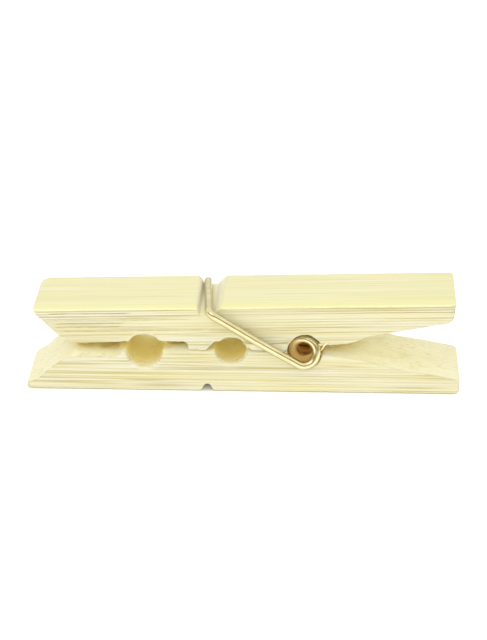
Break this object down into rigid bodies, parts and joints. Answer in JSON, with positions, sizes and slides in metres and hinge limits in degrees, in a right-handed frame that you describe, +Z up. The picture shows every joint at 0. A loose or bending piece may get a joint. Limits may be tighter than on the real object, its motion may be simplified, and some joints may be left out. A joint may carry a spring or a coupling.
{
  "type": "clothespin",
  "caption": "Spring clothespin: notched wooden legs that pivot on a wound wire spring whose arms hook over their outer faces.",
  "frame": {"origin": "centre of the whole part's footprint, on the lower leg's outer face", "axes": "+Z up from the lower leg's outer face to the upper leg; +X from the jaws to the handles, along the legs; +Y across the legs, away from the side that shows the upper leg's spring arm"},
  "size_m": [0.072, 0.0162, 0.0161],
  "materials": {
    "wood": "planed and sawn, unvarnished",
    "wire": "bright drawn wire"
  },
  "bodies": {
    "lower_half": {"lower_leg": "wood", "spring_coil": "wire", "spring_lower_arm": "wire"},
    "upper_half": {"upper_leg": "wood", "spring_upper_arm": "wire"}
  },
  "joints": [
    {"name": "jaw_pivot", "type": "hinge", "parent": "lower_half", "child": "upper_half", "pos_m": [0.01035, 0, 0.0072], "axis": [0, 1, 0], "range_deg": [0, 17], "stiffness_Nm_per_rad": 0.02, "springref_deg": -34.38, "deforming": ["spring_coil"]}
  ]
}
